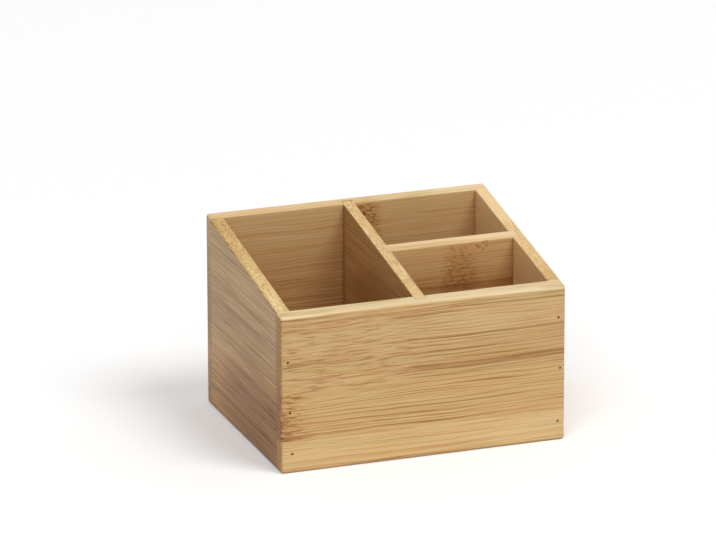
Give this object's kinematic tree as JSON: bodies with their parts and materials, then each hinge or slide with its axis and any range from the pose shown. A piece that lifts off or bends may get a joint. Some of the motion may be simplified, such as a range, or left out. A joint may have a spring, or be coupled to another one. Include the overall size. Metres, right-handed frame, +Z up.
{
  "type": "bathroom organizer",
  "caption": "Open bamboo organizer box whose rim slopes down to the front, with a long divider and a cross divider, to stand brushes and nail tools in.",
  "frame": {"origin": "on the surface that the box stands on, below the middle of its outline", "axes": "+X to the right along the front, +Y from the front to the back, +Z up"},
  "size_m": [0.15, 0.115, 0.1007],
  "materials": {
    "bamboo_wall": "caramel bamboo, satin clear lacquer",
    "bamboo_divider": "caramel bamboo, satin clear lacquer",
    "bamboo_base": "caramel bamboo, satin clear lacquer",
    "pin_steel": "dull drawn wire"
  },
  "bodies": {
    "root": {"front_panel": "bamboo_wall", "back_panel": "bamboo_wall", "left_side": "bamboo_wall", "right_side": "bamboo_wall", "long_divider": "bamboo_divider", "cross_divider": "bamboo_divider", "base_panel": "bamboo_base", "front_left_pins": "pin_steel", "front_right_pins": "pin_steel", "back_left_pins": "pin_steel", "back_right_pins": "pin_steel"}
  },
  "joints": []
}
